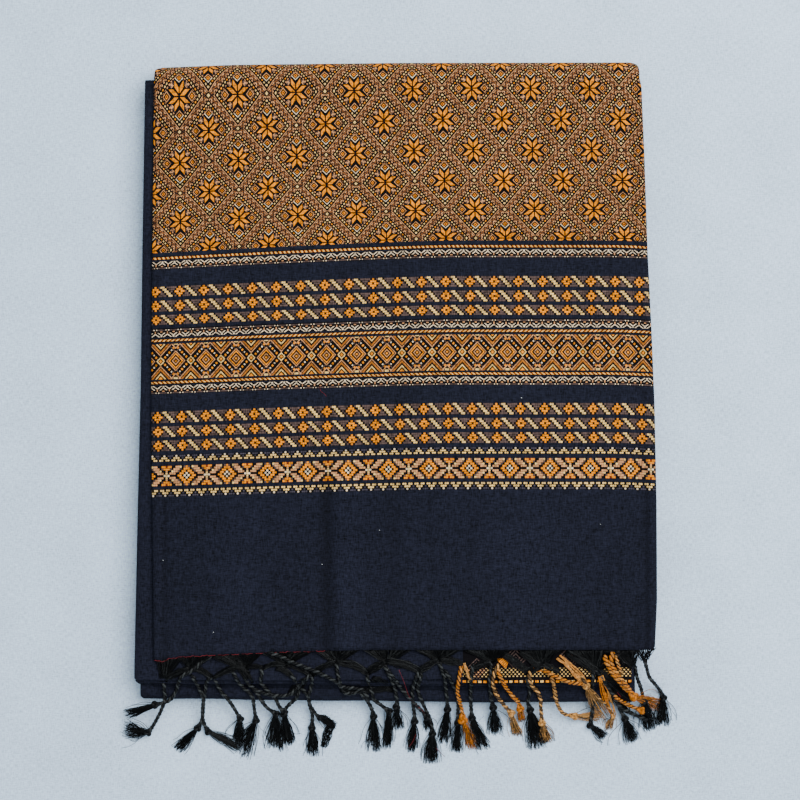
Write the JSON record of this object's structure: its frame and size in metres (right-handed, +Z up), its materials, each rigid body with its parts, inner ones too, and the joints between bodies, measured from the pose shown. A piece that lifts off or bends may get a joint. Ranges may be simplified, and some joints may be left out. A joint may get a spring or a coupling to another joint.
{
  "type": "folded saree",
  "caption": "Saree folded flat into a rectangular pack, with a patterned end panel on top and a knotted warp fringe along its hem.",
  "frame": {"origin": "middle of the flat underside that the folded cloth rests on", "axes": "+Z up out of the pack, +Y towards its top fold and away from the fringe, +X to the right seen from above with the fringe below"},
  "size_m": [0.3168, 0.4072, 0.0202],
  "materials": {
    "navy_cloth": "plain woven dark navy cotton, matt with a faint sheen",
    "pallu_cloth": "navy cloth with an extra weft of orange, cream and brown in woven bands",
    "black_yarn": "twisted black warp yarn with a soft sheen",
    "gold_yarn": "twisted orange and beige warp yarn with a silky sheen"
  },
  "bodies": {
    "root": {"folded_core": "navy_cloth", "lower_body_fold": "navy_cloth", "upper_body_turn": "navy_cloth", "pallu_under_quarter": "pallu_cloth", "pallu_flap": "pallu_cloth", "fringe_black_left": "black_yarn", "fringe_black_middle": "black_yarn", "fringe_black_right": "black_yarn", "fringe_gold": "gold_yarn"}
  },
  "joints": []
}
